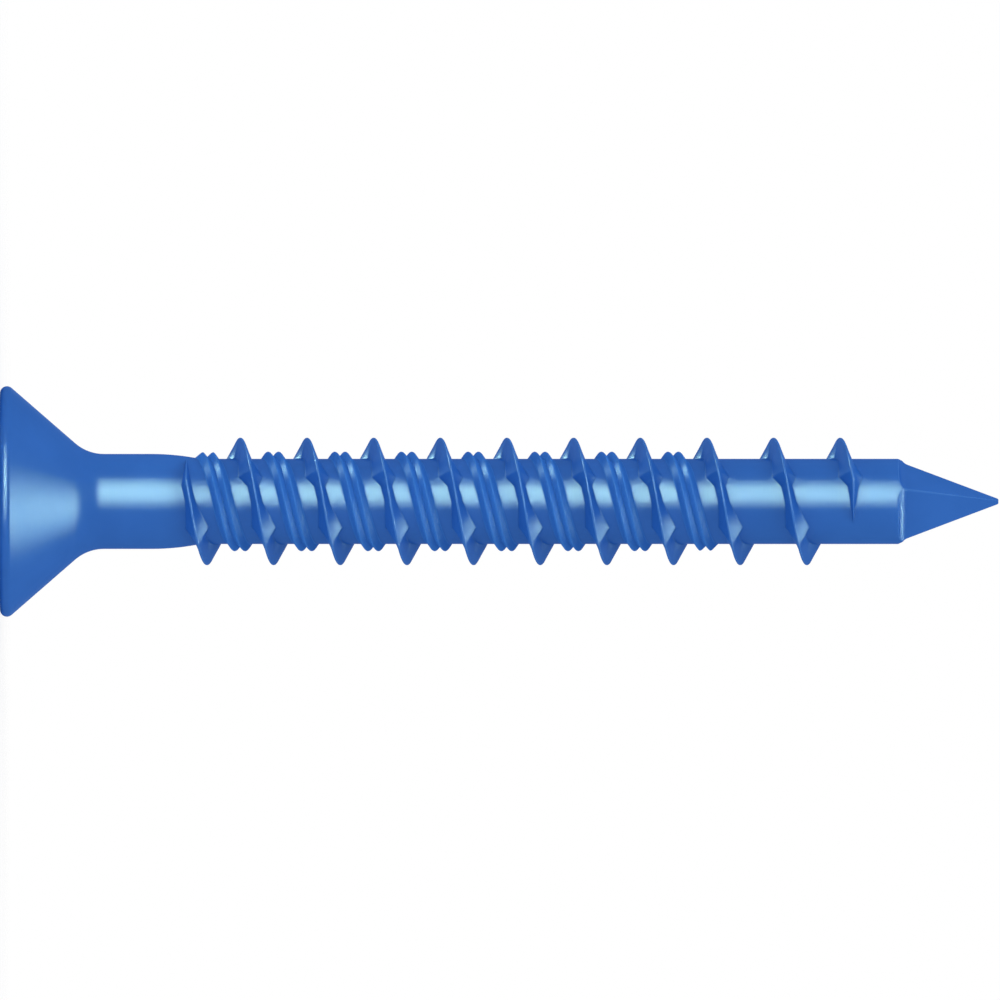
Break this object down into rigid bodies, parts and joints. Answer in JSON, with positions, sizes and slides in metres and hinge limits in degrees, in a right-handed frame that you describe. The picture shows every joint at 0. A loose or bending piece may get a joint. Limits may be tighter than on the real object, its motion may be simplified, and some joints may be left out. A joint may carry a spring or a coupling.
{
  "type": "concrete screw",
  "caption": "Blue countersunk concrete screw with a cross recess, a tall flared-tooth thread, low twin ridges between its turns and a four-sided point.",
  "frame": {"origin": "middle of the flat face of the head, on which the screw stands", "axes": "+Z along the screw's axis from the head to the point; +X and +Y along the wings of the cross recess"},
  "size_m": [0.0132, 0.0132, 0.0572],
  "materials": {
    "blue_coating": "semi-gloss blue corrosion coating on hardened steel"
  },
  "bodies": {
    "root": {"concrete_screw": "blue_coating"}
  },
  "joints": []
}
